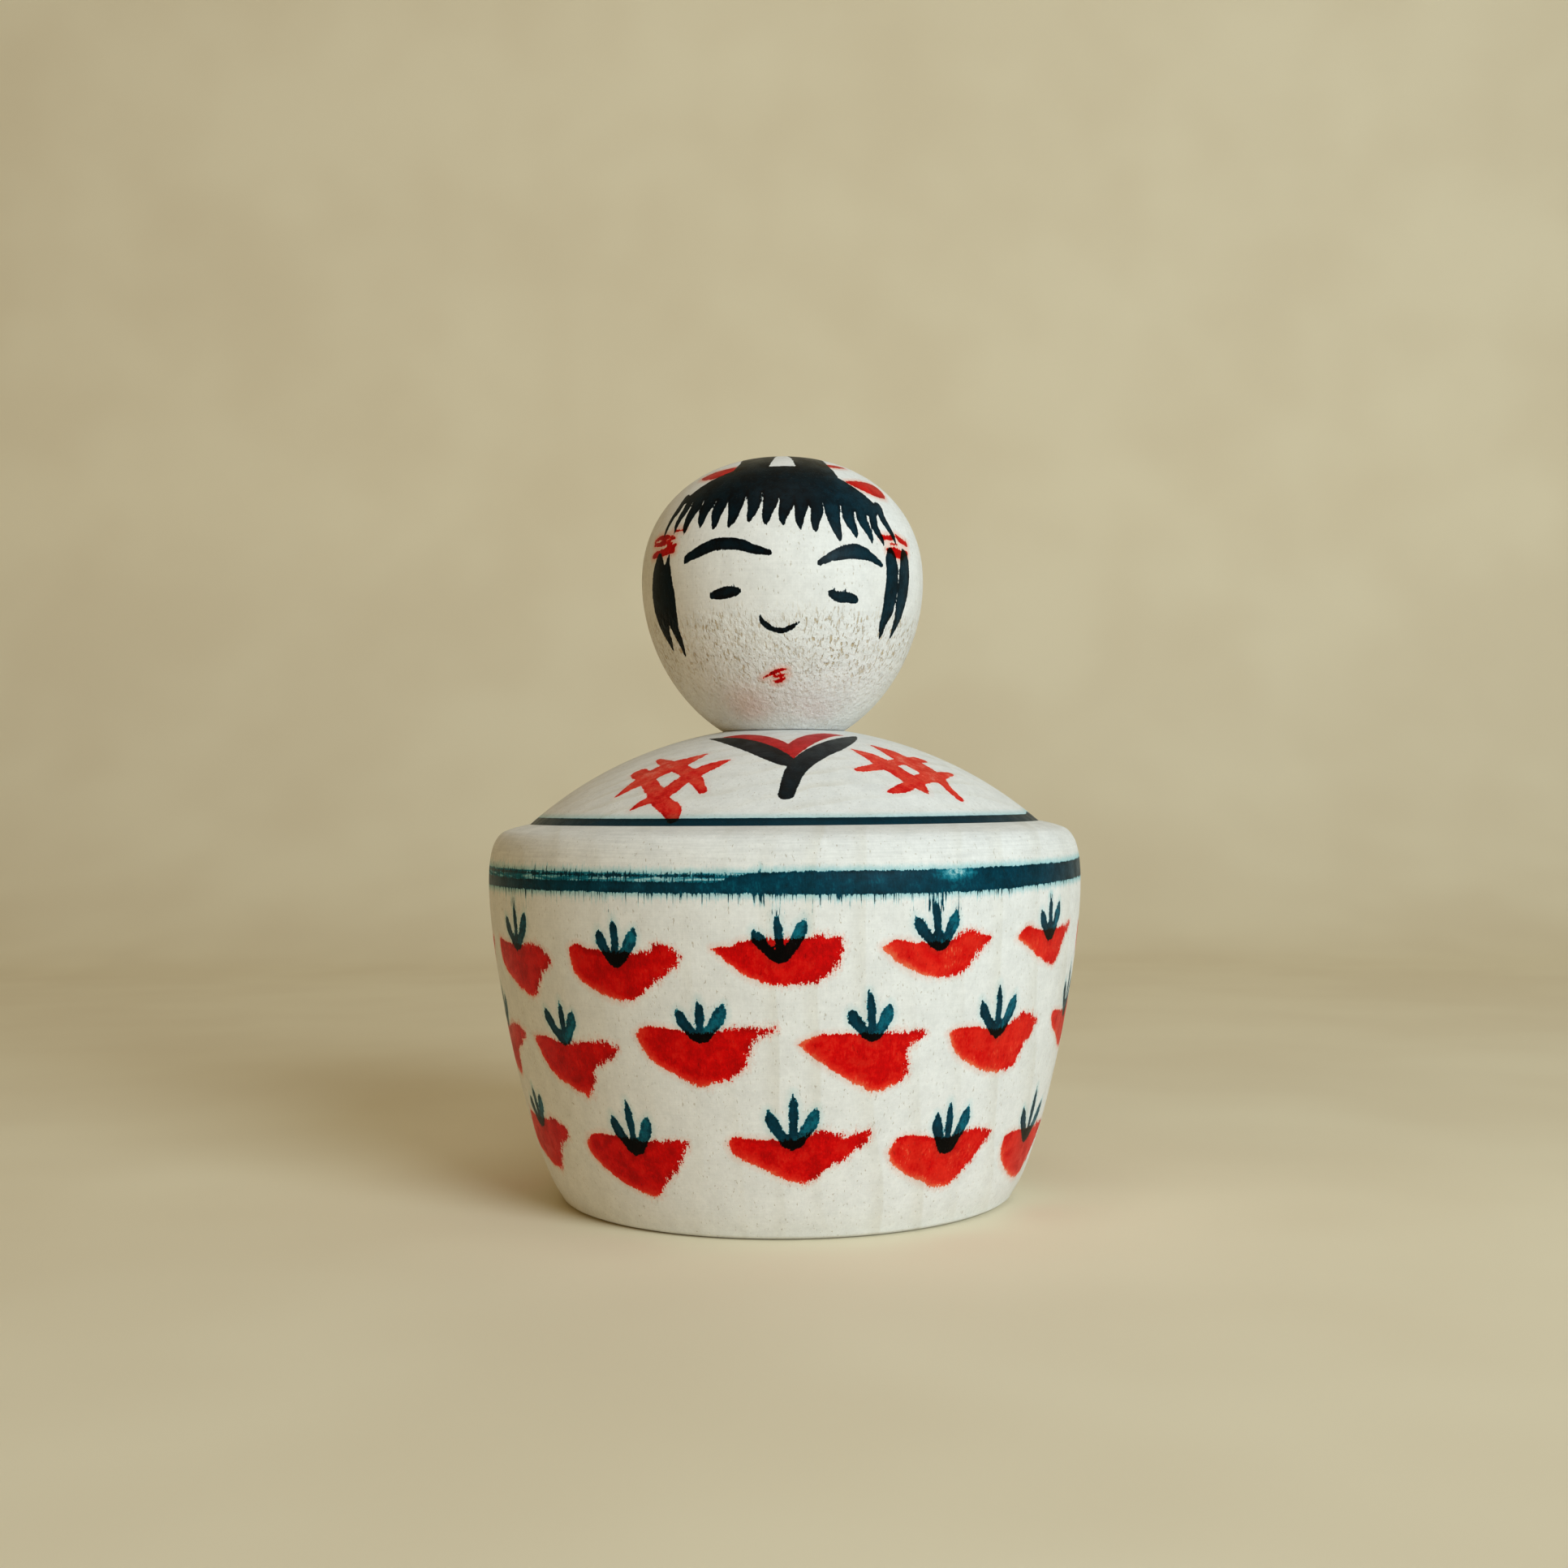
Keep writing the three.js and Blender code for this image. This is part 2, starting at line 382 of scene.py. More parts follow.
pot_skin = skin_of(pot)
pot_angle = np.arctan2(pot_skin[:, 0], -pot_skin[:, 1])
pot_radius = np.hypot(pot_skin[:, 0], pot_skin[:, 1])
pot_height = pot_skin[:, 2]
pot_outside = pot_radius > np.where(pot_height < SEAT_HEIGHT + 0.5, BORE_RADIUS + 0.1, MOUTH_RADIUS - 0.05)
pot_red = np.full(len(pot_skin), -99.0)
pot_green = np.full(len(pot_skin), -99.0)
pot_strength = np.ones(len(pot_skin))
pot_ragged = np.ones(len(pot_skin))
pot_pale_and_highlight = np.full(len(pot_skin), BARE_WOOD)
dice = np.random.default_rng(SPREAD_SEED)
flowers = list(FLOWERS)
for root_height, angles in FLOWERS_BEHIND:
    for angle in angles:
        (_, _), outline, tips = FLOWERS[dice.integers(len(FLOWERS))]
        place = (angle + dice.uniform(-1.5, 1.5), root_height + dice.uniform(-0.6, 0.6))
        outline = np.array(outline) * dice.uniform(0.92, 1.05, 2)
        outline = outline + dice.uniform(-0.2, 0.2, (len(outline), 2))
        tips = np.array(tips) + dice.uniform(-0.3, 0.3, (3, 2))
        flowers.append((place, outline, tips))
for (angle, height), outline, tips in flowers:
    turn = (pot_angle - math.radians(angle) + math.pi) % math.tau - math.pi
    across = turn * pot_radius
    up = pot_height - height
    near = pot_outside & (np.abs(across) < FLOWER_REACH[0]) & (np.abs(up) < FLOWER_REACH[1])
    chart = np.stack([across[near], up[near]], axis=1)
    petal = filled(chart, flowing([*outline, outline[0]], 3)[:-1])
    lower_left = np.clip((-chart[:, 0] - chart[:, 1] * 1.6 - 3) / 2, 0, 1)
    lower_left = lower_left * np.clip(1 - petal / 0.8, 0, 1)
    dry = np.interp(abs(angle - THIN_RED_ANGLE), (0, 10, 45), (1, 1, 0))
    fresh = 1 - RED_THINNING * dry - 0.1 * dice.random()
    fresh = fresh - THIN_CORNER * fresh * lower_left
    pot_strength[near] = np.where(petal > -1, fresh, pot_strength[near])
    pot_red[near] = np.maximum(pot_red[near], petal)
    for tip, root, width, paleness in zip(tips, LEAF_ROOTS, LEAF_WIDTHS, LEAF_PALENESS):
        blade = brushed(chart, leaf(tip, root, width))
        on_top = blade > np.maximum(pot_green[near], -1)
        pot_pale_and_highlight[near] = np.where(on_top, paleness, pot_pale_and_highlight[near])
        pot_green[near] = np.maximum(pot_green[near], blade)
    torn_edge = np.interp(chart[:, 0], (-3, 0, 4), (0.35, 0.6, 1))
    pot_ragged[near] = np.where(petal > -1.5, torn_edge, pot_ragged[near])
# The band rises a little on the doll's left, swells in front, and wavers as a hand does
degrees = np.degrees(pot_angle)
waver = slow_waver(pot_angle, WAVER_SEED, (2, 3, 5, 9))
streaked = np.interp(degrees, (-125, -95, -12, BRUSH_DOWN), (0, 1, 1, 0))
rise = 0.5 * np.interp(degrees, (40, 62, 85, 100, 135), (0, 0.5, 1, 0.9, 0))
swell = np.interp(degrees, (BRUSH_DOWN, 5, 40, 60), (0, 0.15, 0.15, 0))
band_top = BAND_TOP + 0.1 * waver - 0.85 * streaked + rise + swell
band_floor = BAND_FLOOR + 0.08 * waver + rise - swell
band = np.minimum(pot_height - band_floor, band_top - pot_height)
upper_line = UPPER_LINE_HALF - np.abs(pot_height - UPPER_LINE - 0.06 * waver)
upper_line = np.where((degrees > BRUSH_DOWN) | (degrees < -118), FAR_OUTSIDE, upper_line)
band = np.maximum(band, upper_line)
blot = brushed(np.stack([degrees, pot_height], axis=1), BAND_BLOT)
band = np.maximum(band, np.where(pot_outside, blot, FAR_OUTSIDE))
pot_band = pot_outside & (pot_height > BAND_ZONE)
pot_green = np.where(pot_band, np.maximum(pot_green, band), pot_green)
pot_wash = np.minimum(pot_height - WASH_FLOOR, BAND_TOP - pot_height)
washed = pot_outside & (degrees > -105) & (degrees < -5)
pot_wash = np.where(washed, pot_wash, FAR_OUTSIDE)
# Hairs of dye that creep out of the band, the fading in it, and a painted highlight: the band is made paler
# near 31 degrees, where the window light reflects in it
hairs_below = np.interp(degrees, (-180, -95, -80, 5, 30, 50, 180), (0.4, 0.5, 1, 1, 0.95, 0.4, 0.4))
hairs_above = np.interp(degrees, (-180, -100, -80, -40, 0, 180), (0.1, 0.1, 0.9, 0.5, 0.1, 0.1))
pot_hairs = np.where(pot_height < (BAND_FLOOR + BAND_TOP) / 2, hairs_below, hairs_above) * pot_band
painted_highlight = np.clip(1 - np.abs(degrees - 31) / 6, 0, 1) * np.interp(pot_height, (34.8, 35.6), (0.15, 1))
faded = np.interp(degrees, (-60, -12, 24, 45), (0, 0.06, 0.04, 0))
pot_pale_and_highlight = np.where(pot_band & (band > -1.2), np.maximum(0.75 * painted_highlight, faded), pot_pale_and_highlight)
keep(pot, "red_dye", pot_red)
keep(pot, "green_dye", pot_green)
keep(pot, "green_wash", pot_wash)
keep(pot, "red_strength", pot_strength)
keep(pot, "red_ragged", pot_ragged)
keep(pot, "band_hairs", pot_hairs)
keep(pot, "green_paleness_and_highlight", pot_pale_and_highlight)

# -------- The pot's wood and its finish
# Dogwood is nearly white, fine and even, with faint year rings, short rays and the marks of the turning
# tool. The dyes are clear and sink in, so that red over blue-green is nearly black. Wax gives a low sheen.
WOOD_PALE = (0.80, 0.788, 0.765, 1)
WOOD_RING = (0.68, 0.64, 0.56, 1)
WOOD_FLECK = (0.6, 0.5, 0.38, 1)
WAX_SHINE = 0.06
GRAIN_DEPTH = 0.03  # of the bump that grain and tool marks make, in mm
RED_STOPS = [
    (0, (1, 1, 1)),
    (0.1, (1, 0.6, 0.5)),
    (0.25, (1, 0.21, 0.09)),
    (0.44, (0.96, 0.03, 0.014)),
    (0.7, (0.82, 0.0015, 0.002)),
    (1, (0.46, 0.0003, 0.001)),
]
GREEN_STOPS = [
    (0, (1, 1, 1)),
    (0.12, (0.5, 0.78, 0.83)),
    (0.3, (0.09, 0.42, 0.52)),
    (0.5, (0.005, 0.2, 0.29)),
    (0.75, (0.001, 0.052, 0.09)),
    (1, (0.0005, 0.022, 0.036)),
]


class Finish:
    """A finish in the making: each method adds a node and gives its output."""

    def __init__(self, name):
        self.material = bpy.data.materials.new(name)
        self.material.use_nodes = True
        self.tree = self.material.node_tree
        self.tree.nodes.clear()
        object_place = self.node("TexCoord", {}, "Object")
        self.place = self.node("VectorMath", {0: object_place, "Scale": 1 / MM}, operation="SCALE")

    def node(self, kind, inputs, output=0, **settings):
        made = self.tree.nodes.new("ShaderNode" + kind)
        for name, value in settings.items():
            setattr(made, name, value)
        for name, value in inputs.items():
            if isinstance(value, bpy.types.NodeSocket):
                self.tree.links.new(value, made.inputs[name])
            else:
                made.inputs[name].default_value = value
        return made.outputs[output] if made.outputs else None

    def sum(self, operation, *values):
        return self.node("Math", dict(enumerate(values)), operation=operation)

    def stored(self, name):
        return self.node("Attribute", {}, "Fac", attribute_name=name)

    def stretched(self, across, along):
        """Places measured in grain lengths: so many mm across the grain and so many along it."""
        scale = (1 / across, 1 / across, 1 / along)
        return self.node("VectorMath", {0: self.place, 1: scale}, operation="MULTIPLY")

    def speckle(self, place, size=1, detail=3, roughness=0.55):
        """Noise from 0 to 1 whose patches are about the size given."""
        inputs = {"Vector": place, "Scale": 1 / size, "Detail": detail, "Roughness": roughness}
        return self.node("TexNoise", inputs)

    def between(self, value, low, high, bottom=0, top=1):
        """Eases from one value to another as the input passes from low to high."""
        inputs = {"Value": value, "From Min": low, "From Max": high, "To Min": bottom, "To Max": top}
        return self.node("MapRange", inputs, interpolation_type="SMOOTHSTEP")

    def blend(self, mode, amount, under, over):
        inputs = {0: amount, 6: under, 7: over}
        return self.node("Mix", inputs, 2, data_type="RGBA", blend_type=mode)

    def stops(self, value, stops):
        made = self.tree.nodes.new("ShaderNodeValToRGB")
        self.tree.links.new(value, made.inputs[0])
        elements = made.color_ramp.elements
        while len(elements) < len(stops):
            elements.new(0.5)
        for element, (position, colour) in zip(elements, stops):
            element.position = position
            element.color = (*colour, 1)
        return made.outputs[0]

    def height(self):
        return self.node("SeparateXYZ", {0: self.place}, "Z")

    def wood(self, pith, ring_width=2.1, ring_strength=0.55, grain_strength=0.02, line_strength=0.012):
        """Bare turned dogwood, with its year rings about a pith at (x, y)."""
        sway = self.speckle(self.stretched(14, 60), 1, 2)
        off_pith = self.node("VectorMath", {0: self.place, 1: (-pith[0], -pith[1], 0)}, operation="ADD")
        flat = self.node("VectorMath", {0: off_pith, 1: (1, 1, 0.02)}, operation="MULTIPLY")
        distance = self.node("VectorMath", {0: flat}, "Value", operation="LENGTH")
        distance = self.sum("MULTIPLY_ADD", sway, 5, distance)
        year = self.sum("FRACT", self.sum("DIVIDE", distance, ring_width))
        late = self.between(year, 0.55, 0.97)
        early = self.between(year, 0, 0.08, 1, 0)
        ring = self.sum("MAXIMUM", late, early)
        patch = self.speckle(self.stretched(9, 30), 1, 3)
        ring = self.sum("MULTIPLY", ring, self.between(patch, 0.35, 0.7, 0.1, 1))
        colour = self.blend("MIX", self.sum("MULTIPLY", ring, ring_strength), WOOD_PALE, WOOD_RING)
        grain = self.speckle(self.stretched(0.2, 2.6), 1, 5, 0.7)
        grey = self.between(grain, 0.3, 0.7, 1 + grain_strength, 1 - grain_strength)
        colour = self.blend("MULTIPLY", 1, colour, self.grey(grey))
        line = self.between(self.tool_marks(0.3), 0.35, 0.65, 1 + line_strength, 1 - line_strength)
        colour = self.blend("MULTIPLY", 1, colour, self.grey(line))
        mottle = self.speckle(self.place, 2.4, 6, 0.7)
        colour = self.blend("MULTIPLY", 1, colour, self.grey(self.between(mottle, 0.32, 0.7, 1.03, 0.93)))
        tooth = self.between(self.speckle(self.place, 0.4, 3, 0.7), 0.3, 0.7, 1.02, 0.96)
        colour = self.blend("MULTIPLY", 1, colour, self.grey(tooth))
        fleck = self.speckle(self.stretched(0.2, 0.5), 1, 2)
        fleck = self.between(fleck, 0.64, 0.74, 0, 0.6)
        colour = self.blend("MULTIPLY", fleck, colour, WOOD_FLECK)
        self.pores = self.sum("MULTIPLY_ADD", grain, 0.6, self.sum("MULTIPLY", fleck, -1.5))
        return colour

    def grey(self, value):
        return self.node("CombineColor", {0: value, 1: value, 2: value})

    def tool_marks(self, pitch=0.22):
        """The fine rings that the turning tool leaves."""
        line = self.node("CombineXYZ", {2: self.height()})
        return self.speckle(line, pitch, 3, 0.7)

    def soak(self, depth, ragged, bleed, soft, halo, thin, strength=1):
        """How much of a dye the wood holds: its edge is ragged and creeps along the grain."""
        blot = self.sum("SUBTRACT", self.speckle(self.place, 0.8, 4, 0.65), 0.5)
        crumb = self.sum("SUBTRACT", self.speckle(self.place, 0.2, 2), 0.5)
        fibre = self.sum("SUBTRACT", self.speckle(self.stretched(0.14, 1.1), 1, 3, 0.6), 0.5)
        rough = self.sum("MULTIPLY_ADD", crumb, 0.5, self.sum("MULTIPLY", blot, 1.5))
        edge = self.sum("MULTIPLY_ADD", rough, ragged, depth)
        edge = self.sum("MULTIPLY_ADD", self.sum("MULTIPLY", fibre, 2), bleed, edge)
        cover = self.between(edge, -soft, soft)
        spread = self.between(edge, -0.8, 0.1, 0, halo)
        cloud = self.between(self.speckle(self.place, 1.6, 5, 0.65), 0.36, 0.66, 1 - thin, 1)
        tooth = self.between(self.speckle(self.stretched(0.18, 0.5), 1, 3, 0.6), 0.3, 0.6, 1 - thin / 2, 1)
        pooled = self.between(edge, 0, 0.45, 1.1, 0.97)
        density = self.sum("MULTIPLY", self.sum("MULTIPLY", cloud, tooth), pooled)
        density = self.sum("MULTIPLY", density, strength)
        amount = self.sum("MULTIPLY", cover, density)
        return self.sum("MAXIMUM", amount, spread), cover

    def done(self, colour, wet, bump, distance):
        """Ends the tree in a waxed surface, shinier where dye has sealed the wood."""
        sheen_patch = self.speckle(self.place, 1.6, 4, 0.6)
        roughness = self.between(sheen_patch, 0.3, 0.7, 0.5, 0.62)
        roughness = self.sum("MULTIPLY_ADD", wet, -0.2, roughness)
        normal = self.node("Bump", {"Height": bump, "Distance": distance * MM, "Strength": 1})
        inputs = {
            "Base Color": colour,
            "Roughness": roughness,
            "Specular IOR Level": WAX_SHINE,
            "Normal": normal,
        }
        shader = self.node("BsdfPrincipled", inputs)
        self.node("OutputMaterial", {"Surface": shader})
        return self.material


pot_finish = Finish("dyed_cradle_wood")
pot_wood = pot_finish.wood(pith=(-45, -22), ring_width=4.3, ring_strength=0.45)
streaks = pot_finish.speckle(pot_finish.stretched(5, 0.22), 1, 4, 0.65)
streaks = pot_finish.between(streaks, 0.35, 0.65, 1.02, 0.93)
rim_part = pot_finish.between(pot_finish.height(), 36.2, 37.6)
pot_wood = pot_finish.blend("MULTIPLY", rim_part, pot_wood, pot_finish.grey(streaks))
strength = pot_finish.stored("red_strength")
ragged = pot_finish.stored("red_ragged")
bleed = pot_finish.sum("MULTIPLY", ragged, 0.75)
dashes = pot_finish.between(pot_finish.speckle(pot_finish.stretched(0.17, 0.7), 1, 2), 0.5, 0.64)
patches = pot_finish.between(pot_finish.speckle(pot_finish.place, 2, 3), 0.46, 0.6, 0.1, 1)
dashes = pot_finish.sum("MULTIPLY", dashes, patches)
dashes = pot_finish.sum("MULTIPLY", dashes, pot_finish.between(pot_finish.stored("red_dye"), 0.2, 0.8))
dashes = pot_finish.sum("MULTIPLY", dashes, pot_finish.sum("SUBTRACT", 1.15, strength))
strength = pot_finish.sum("MULTIPLY_ADD", dashes, -0.6, strength)
red, red_cover = pot_finish.soak(pot_finish.stored("red_dye"), ragged, bleed, 0.08, 0.05, 0.28, strength)
hair = pot_finish.between(pot_finish.speckle(pot_finish.stretched(0.16, 5), 1, 2), 0.5, 0.75)
depth = pot_finish.sum("MULTIPLY_ADD", hair, pot_finish.stored("band_hairs"), pot_finish.stored("green_dye"))
# The leaves' and the band's paleness, with the band's painted highlight, is speckled and lowers the
# blue-green dye's strength
paleness_and_highlight_speckle = pot_finish.between(pot_finish.speckle(pot_finish.place, 0.5, 4, 0.7), 0.35, 0.65, 0.6, 1.4)
paleness = pot_finish.sum("MULTIPLY", pot_finish.stored("green_paleness_and_highlight"), paleness_and_highlight_speckle)
strength = pot_finish.sum("SUBTRACT", 1, paleness)
halo = pot_finish.between(pot_finish.height(), 32.3, 33.3, 0.05, 0.14)
green, green_cover = pot_finish.soak(depth, 0.28, 0.12, 0.06, halo, 0.2, strength)
wash = pot_finish.between(pot_finish.stored("green_wash"), -0.15, 0.1)
windows = pot_finish.speckle(pot_finish.stretched(2.6, 0.25), 1, 3)
ticks = pot_finish.speckle(pot_finish.stretched(0.16, 3), 1, 2)
windows = pot_finish.between(windows, 0.38, 0.6, 0.16, 0.6)
ticks = pot_finish.between(ticks, 0.47, 0.66, 0, 0.85)
wash = pot_finish.sum("MULTIPLY", wash, pot_finish.sum("MAXIMUM", windows, ticks))
green = pot_finish.sum("MAXIMUM", green, wash)
colour = pot_finish.blend("MULTIPLY", 1, pot_wood, pot_finish.stops(red, RED_STOPS))
colour = pot_finish.blend("MULTIPLY", 1, colour, pot_finish.stops(green, GREEN_STOPS))
wet = pot_finish.sum("MAXIMUM", red_cover, green_cover)
bump = pot_finish.sum("MULTIPLY_ADD", pot_finish.tool_marks(), 0.5, pot_finish.pores)
pot.data.materials.append(pot_finish.done(colour, wet, bump, GRAIN_DEPTH))
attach(pot, "pot")
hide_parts("cradle_pot")

# ---------------------------------------------------------------- shoulder lid
# The doll's shoulders are the pot's lid: a domed disc of the same wood, whose flange drops into the rebate.
# It is dished beneath, and a blind socket in its flat collar narrows at the mouth to hold the head's neck.
FLANGE_RADIUS = 27.55
FLANGE_BEVEL = 0.4
SEAT_GAP = 0.05
BEARING_RADIUS = 23.5
DISH_DEPTH = 1
DOME_RADIUS = 41.7
COLLAR_RADIUS = 6.9
NECK_RADIUS = 4.8
NECK_CLEARANCE = 0.1
NECK_LENGTH = 8.6
NECK_STRAIGHT = 3  # plain length before the neck swells
SWELL = 0.75  # how far the swollen end stands out beyond the neck
SWELL_RISE = 1.4
SWELL_WIDTH = 1.5
SOCKET_END_GAP = 0.4
LIP_BEVEL = 0.25
HEAD_GAP = 0.1
LID_AROUND = 560
LID_SPACING = 0.3
DISH_STEPS = 8
DOME_STEPS = 200

# -------- The lid's brushwork
# The marks are a crossed collar over a red undergarment, two figures of crossed lines in watery red, and a
# dark line at the rim. Each stroke is a row of places seen from above: (x, y, half width).
RIM_LINE_RADIUS = 26.7  # inner edge of the dark line at the rim
RIM_WEAR = (78, 6, 0.3)  # degrees round to the middle of a worn place, its half width, and its depth in mm
LID_WAVER_SEED = 5
COLLAR_STROKES = [
    [
        (-7.9, -7.8, 0.1), (-6.2, -9.7, 0.8), (-4.4, -12.1, 1.25), (-2.7, -14.3, 1.4),
        (-1.2, -16.3, 1.35), (0, -17.8, 1.1), (0.6, -18.3, 0.8),
    ],
    [
        (7.7, -7, 0.05), (6.8, -9.6, 0.8), (5.1, -13, 1.3), (3.3, -15.8, 1.3), (2, -18, 1.2),
        (1.1, -20, 1.05), (0.6, -22, 0.9), (0.2, -23.8, 0.8),
    ],
]
UNDERCOLLAR_STROKES = [
    [
        (-6.3, -8.5, 0.1), (-4.6, -9.2, 0.8), (-2.6, -11.2, 1.2), (-0.8, -13.9, 1.3), (0.5, -16.6, 0.7),
        (0.8, -17.6, 0.2),
    ],
    [
        (6.2, -8, 0.1), (4.6, -8.8, 0.8), (3, -10.9, 1.1), (1.7, -13.4, 1.1), (0.9, -16, 0.7),
        (0.7, -17.4, 0.2),
    ],
]
CROSSED_STROKES = [
    [
        (-17, -16.9, 0.12), (-15.4, -16.2, 0.79), (-14.1, -15.8, 1.22), (-12.1, -15, 1.46),
        (-10.2, -14.8, 1.1), (-7.8, -14, 0.12),
    ],
    [
        (-15.2, -20.7, 0.12), (-13.9, -20.4, 0.61), (-11.8, -20.3, 0.98), (-10.2, -19, 0.92),
        (-8.5, -18, 0.92), (-6.8, -17.2, 0.73), (-5.4, -16.7, 0.12),
    ],
    [
        (-14.9, -13.3, 0.92), (-13.6, -17, 0.85), (-12.2, -21.2, 0.92), (-11, -23.2, 0.98),
        (-10.8, -24.5, 0.61),
    ],
    [(-13, -11.4, 0.3), (-11.8, -14, 0.73), (-9.6, -17.7, 0.85), (-8.6, -20, 0.67), (-8, -21.8, 0.43)],
    [
        (7, -13.4, 0.12), (8.8, -14.4, 0.92), (10.2, -15.6, 1.22), (11.7, -16.7, 1.16),
        (13.1, -17.8, 1.16), (14.4, -19, 0.12),
    ],
    [
        (9.1, -10.5, 0.12), (11, -11.5, 1.04), (12.4, -12.6, 1.34), (14.3, -13.5, 1.59),
        (15.5, -14.6, 1.22), (16.2, -15.2, 0.67), (17, -16.4, 0.55), (17.7, -17, 0.49),
    ],
    [
        (7.5, -18.3, 0.49), (9, -17.2, 0.67), (10.2, -15.8, 0.73), (12.5, -12.9, 0.67),
        (14, -10.8, 0.73), (14.7, -10.2, 0.24),
    ],
    [
        (10.3, -21.1, 0.18), (11.3, -20.3, 0.61), (12.6, -18.6, 0.73), (14.1, -16.2, 0.85),
        (15.6, -14.1, 0.79), (17, -11.7, 0.49), (17.6, -10.7, 0.06),
    ],
]


def dome_drop(radius):
    return DOME_RADIUS - np.sqrt(DOME_RADIUS**2 - radius**2)


collar_height = SEAM_HEIGHT + dome_drop(FLANGE_RADIUS) - dome_drop(COLLAR_RADIUS)
head_floor = collar_height + HEAD_GAP
neck_end = head_floor - NECK_LENGTH
swell_start = head_floor - NECK_STRAIGHT
swell_full = swell_start - SWELL_RISE
socket_radius = NECK_RADIUS + NECK_CLEARANCE
bearing_height = SEAT_HEIGHT + SEAT_GAP
dish_radius = (BEARING_RADIUS**2 + DISH_DEPTH**2) / (2 * DISH_DEPTH)
dish_end = math.degrees(math.acos(BEARING_RADIUS / dish_radius))
dome_radii = np.linspace(FLANGE_RADIUS, COLLAR_RADIUS, DOME_STEPS)
dome_heights = SEAM_HEIGHT + dome_drop(FLANGE_RADIUS) - dome_drop(dome_radii)
lid_dome = evenly(np.stack([dome_radii, dome_heights], axis=1), LID_SPACING)
lid_profile = [
    (0, bearing_height + DISH_DEPTH),
    *arc(0, bearing_height + DISH_DEPTH - dish_radius, dish_radius, 90, dish_end, DISH_STEPS)[1:],
    (FLANGE_RADIUS - FLANGE_BEVEL, bearing_height),
    (FLANGE_RADIUS, bearing_height + FLANGE_BEVEL),
    *lid_dome,
    (socket_radius + LIP_BEVEL, collar_height),
    (socket_radius, collar_height - LIP_BEVEL),
    (socket_radius, swell_start + NECK_CLEARANCE),
    (socket_radius + SWELL, swell_full + NECK_CLEARANCE),
    (socket_radius + SWELL, neck_end - SOCKET_END_GAP),
    (0, neck_end - SOCKET_END_GAP),
]
lid = turned("dyed_shoulder_lid", lid_profile, LID_AROUND)


def on_dome(stroke):
    """Lifts a stroke from the plan on to the dome."""
    line = []
    for x, y, half in flowing(stroke, 4):
        height = SEAM_HEIGHT + dome_drop(FLANGE_RADIUS) - dome_drop(math.hypot(x, y))
        line.append((x, y, height, half))
    return line


def brushed_all(skin, strokes):
    return np.max([brushed(skin, stroke) for stroke in strokes], axis=0)


lid_skin = skin_of(lid)
lid_radius = np.hypot(lid_skin[:, 0], lid_skin[:, 1])
lid_top = lid_skin[:, 2] > SEAM_HEIGHT - 0.01
lid_black = brushed_all(lid_skin, [on_dome(stroke) for stroke in COLLAR_STROKES])
lid_red = brushed_all(lid_skin, [on_dome(stroke) for stroke in UNDERCOLLAR_STROKES])
lid_watery = brushed_all(lid_skin, [on_dome(stroke) for stroke in CROSSED_STROKES])
lid_angle = np.arctan2(lid_skin[:, 0], -lid_skin[:, 1])
lid_waver = slow_waver(lid_angle, LID_WAVER_SEED, (2, 3, 7))
wear_angle, wear_width, wear_depth = RIM_WEAR
worn = np.interp(np.abs(np.degrees(lid_angle) - wear_angle), (0, wear_width), (wear_depth, 0))
rim_line = lid_radius - RIM_LINE_RADIUS + 0.06 * lid_waver + worn
rim_line = np.where(lid_top, rim_line, FAR_OUTSIDE)
keep(lid, "black_dye", np.where(lid_top, lid_black, FAR_OUTSIDE))
keep(lid, "red_dye", np.where(lid_top, lid_red, FAR_OUTSIDE))
keep(lid, "watery_dye", np.where(lid_top, lid_watery, FAR_OUTSIDE))
keep(lid, "green_dye", rim_line)

# -------- The lid's finish
# The same waxed dogwood, with the black, the blue-green and the two reds over it.
BLACK_STOPS = [
    (0, (1, 1, 1)),
    (0.3, (0.2, 0.27, 0.3)),
    (0.55, (0.008, 0.045, 0.072)),
    (0.75, (0.003, 0.014, 0.022)),
    (1, (0.002, 0.003, 0.004)),
]
WATERY_STOPS = [
    (0, (1, 1, 1)),
    (0.2, (1, 0.45, 0.35)),
    (0.45, (0.95, 0.08, 0.045)),
    (0.75, (0.85, 0.015, 0.012)),
    (1, (0.6, 0.001, 0.002)),
]
lid_finish = Finish("dyed_shoulder_wood")
colour = lid_finish.wood(pith=(-7, 11))
red, red_cover = lid_finish.soak(lid_finish.stored("red_dye"), 0.12, 0.1, 0.05, 0.02, 0.15)
front = lid_finish.node("SeparateXYZ", {0: lid_finish.place}, "Y")
front = lid_finish.sum("MULTIPLY_ADD", lid_finish.speckle(lid_finish.place, 2.2, 3), 8, front)
strength = lid_finish.between(front, -19, -9, 1, 0.7)
watery, _ = lid_finish.soak(lid_finish.stored("watery_dye"), 0.3, 0.1, 0.05, 0.03, 0.4, strength)
green, green_cover = lid_finish.soak(lid_finish.stored("green_dye"), 0.05, 0.03, 0.04, 0.1, 0.05)
black, black_cover = lid_finish.soak(lid_finish.stored("black_dye"), 0.16, 0.1, 0.04, 0, 0.12)
colour = lid_finish.blend("MULTIPLY", 1, colour, lid_finish.stops(red, RED_STOPS))
colour = lid_finish.blend("MULTIPLY", 1, colour, lid_finish.stops(watery, WATERY_STOPS))
colour = lid_finish.blend("MULTIPLY", 1, colour, lid_finish.stops(green, GREEN_STOPS))
colour = lid_finish.blend("MULTIPLY", 1, colour, lid_finish.stops(black, BLACK_STOPS))
wet = lid_finish.sum("MAXIMUM", lid_finish.sum("MAXIMUM", red_cover, black_cover), green_cover)
